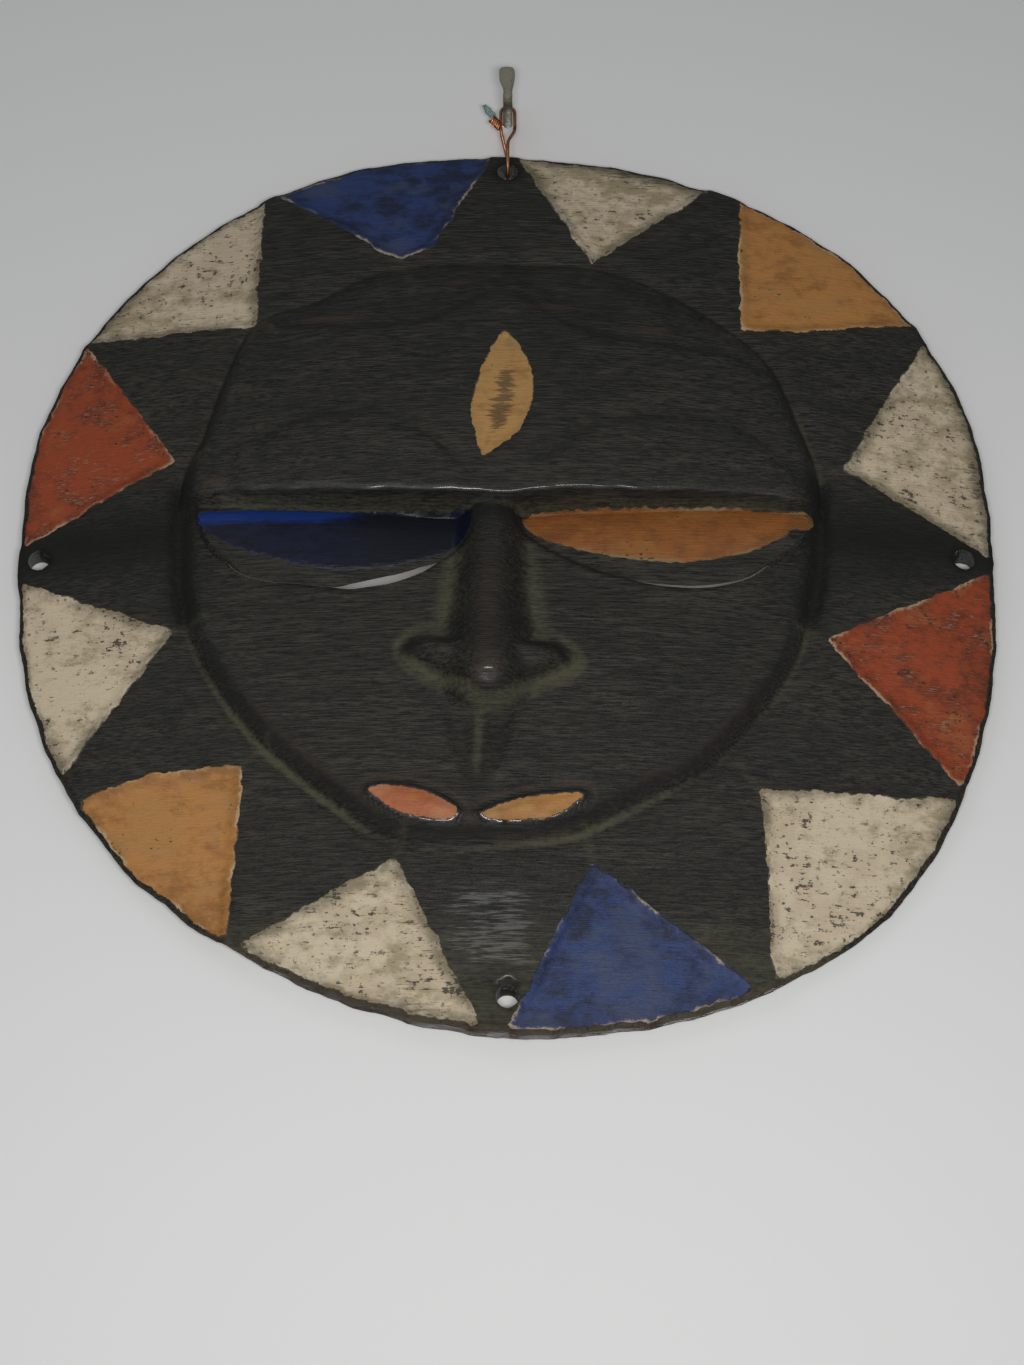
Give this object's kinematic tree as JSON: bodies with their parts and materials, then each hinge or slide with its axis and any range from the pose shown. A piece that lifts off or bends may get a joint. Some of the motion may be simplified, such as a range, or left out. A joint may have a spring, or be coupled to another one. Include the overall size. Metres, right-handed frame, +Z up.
{
  "type": "wall mask",
  "caption": "Round carved wooden mask with a domed rim of painted triangles, a face with heavy lids and slit eyes, hung by a wire loop on a wall hook.",
  "frame": {"origin": "on the axis of the hook's shank, where it leaves the wall", "axes": "+Y into the wall, +Z up, +X to the viewer's right; the mask faces -Y"},
  "size_m": [0.397, 0.085, 0.4379],
  "materials": {
    "hook_paint": "grey-green oil paint, dull",
    "copper_wire": "bare copper wire, slightly tarnished",
    "insulation": "blue-green scrap of wire insulation, dull",
    "carved_wood": "black-brown stained hardwood with fine grain, waxed, dusty in the hollows",
    "blue_paint": "matt dark blue paint over a pale ground",
    "white_paint": "matt off-white paint, worn and dirty",
    "ochre_paint": "matt ochre paint over a pale ground",
    "red_paint": "matt brick red paint over a pale ground",
    "orange_paint": "matt orange paint over a pale ground"
  },
  "bodies": {
    "hook": {"wall_hook": "hook_paint"},
    "wire": {"hanging_wire": "copper_wire", "wire_twist": "copper_wire", "insulation_stub": "insulation"},
    "mask": {"mask_disc": "carved_wood", "eyelid_coat_left": "blue_paint", "eyelid_coat_right": "orange_paint", "forehead_lens_coat": "ochre_paint", "lip_coat_left": "red_paint", "lip_coat_right": "ochre_paint", "rim_field_blue_1": "blue_paint", "rim_field_white_1": "white_paint", "rim_field_ochre_1": "ochre_paint", "rim_field_white_2": "white_paint", "rim_field_red_1": "red_paint", "rim_field_white_3": "white_paint", "rim_field_blue_2": "blue_paint", "rim_field_white_4": "white_paint", "rim_field_ochre_2": "ochre_paint", "rim_field_white_5": "white_paint", "rim_field_red_2": "red_paint", "rim_field_white_6": "white_paint"}
  },
  "joints": [
    {"name": "loop_swing", "type": "hinge", "parent": "hook", "child": "wire", "pos_m": [0, -0.00897, 0], "axis": [0, 1, 0], "range_deg": [-35, 35]},
    {"name": "mask_tilt", "type": "hinge", "parent": "wire", "child": "mask", "pos_m": [0, -0.00897, -0.0265], "axis": [-1, 0, 0], "range_deg": [0, 55]}
  ]
}
